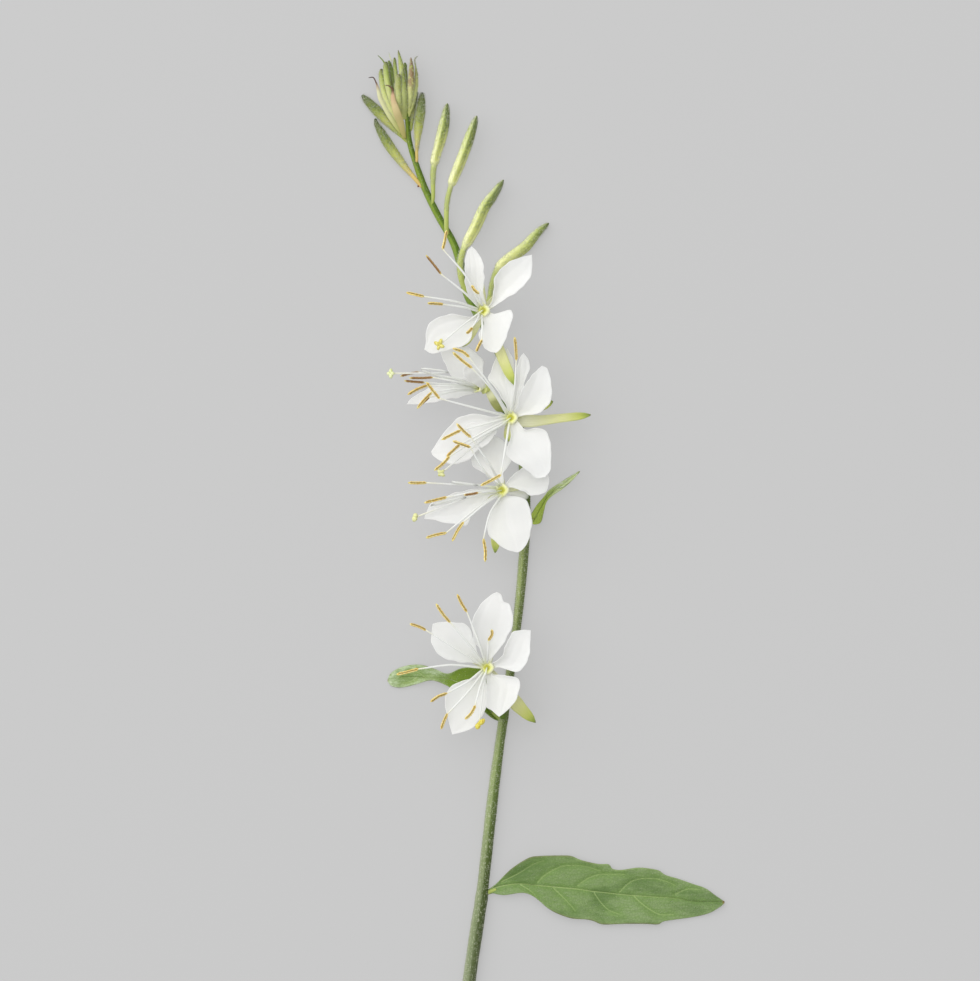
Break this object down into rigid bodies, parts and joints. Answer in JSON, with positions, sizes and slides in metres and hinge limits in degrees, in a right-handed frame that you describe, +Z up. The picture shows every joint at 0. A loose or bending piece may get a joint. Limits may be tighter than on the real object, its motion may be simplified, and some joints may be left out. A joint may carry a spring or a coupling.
{
  "type": "gaura flower spray",
  "caption": "Cut spray of white gaura with open long-stamened flowers, slender buds, a bud cluster at its tip and narrow leaves, lying on its stem.",
  "frame": {"origin": "centre of the bounding box, on the surface that the spray lies on", "axes": "+Y along the stem from its cut end to its tip, +X towards the side of the long leaf, +Z up, the way the flowers face"},
  "size_m": [0.0656, 0.1834, 0.018],
  "materials": {
    "stem_green": "satin, finely hairy green stem",
    "leaf_green": "satin leaf",
    "bud_green": "soft, finely hairy",
    "bract_tan": "dry, matt",
    "petal_white": "thin, softly translucent",
    "calyx_green": "thin, softly translucent",
    "anther_gold": "matt"
  },
  "bodies": {
    "root": {"stem": "stem_green", "leaf_long": "leaf_green", "leaf_middle": "leaf_green", "leaf_small": "leaf_green", "tip_buds": "bud_green", "tip_bracts": "bract_tan", "bud_left_upper": "bud_green", "bud_left_lower": "bud_green", "bud_right_young": "bud_green", "bud_right_first": "bud_green", "bud_right_second": "bud_green", "bud_right_third": "bud_green", "bud_right_fourth": "bud_green", "bud_right_fifth": "bud_green", "flower_a_calyx": "calyx_green", "flower_a_petals": "petal_white", "flower_a_stamens": "anther_gold", "flower_b_calyx": "calyx_green", "flower_b_petals": "petal_white", "flower_b_stamens": "anther_gold", "flower_c_calyx": "calyx_green", "flower_c_petals": "petal_white", "flower_c_stamens": "anther_gold", "flower_d_calyx": "calyx_green", "flower_d_petals": "petal_white", "flower_d_stamens": "anther_gold", "flower_e_calyx": "calyx_green", "flower_e_petals": "petal_white", "flower_e_stamens": "anther_gold"}
  },
  "joints": []
}
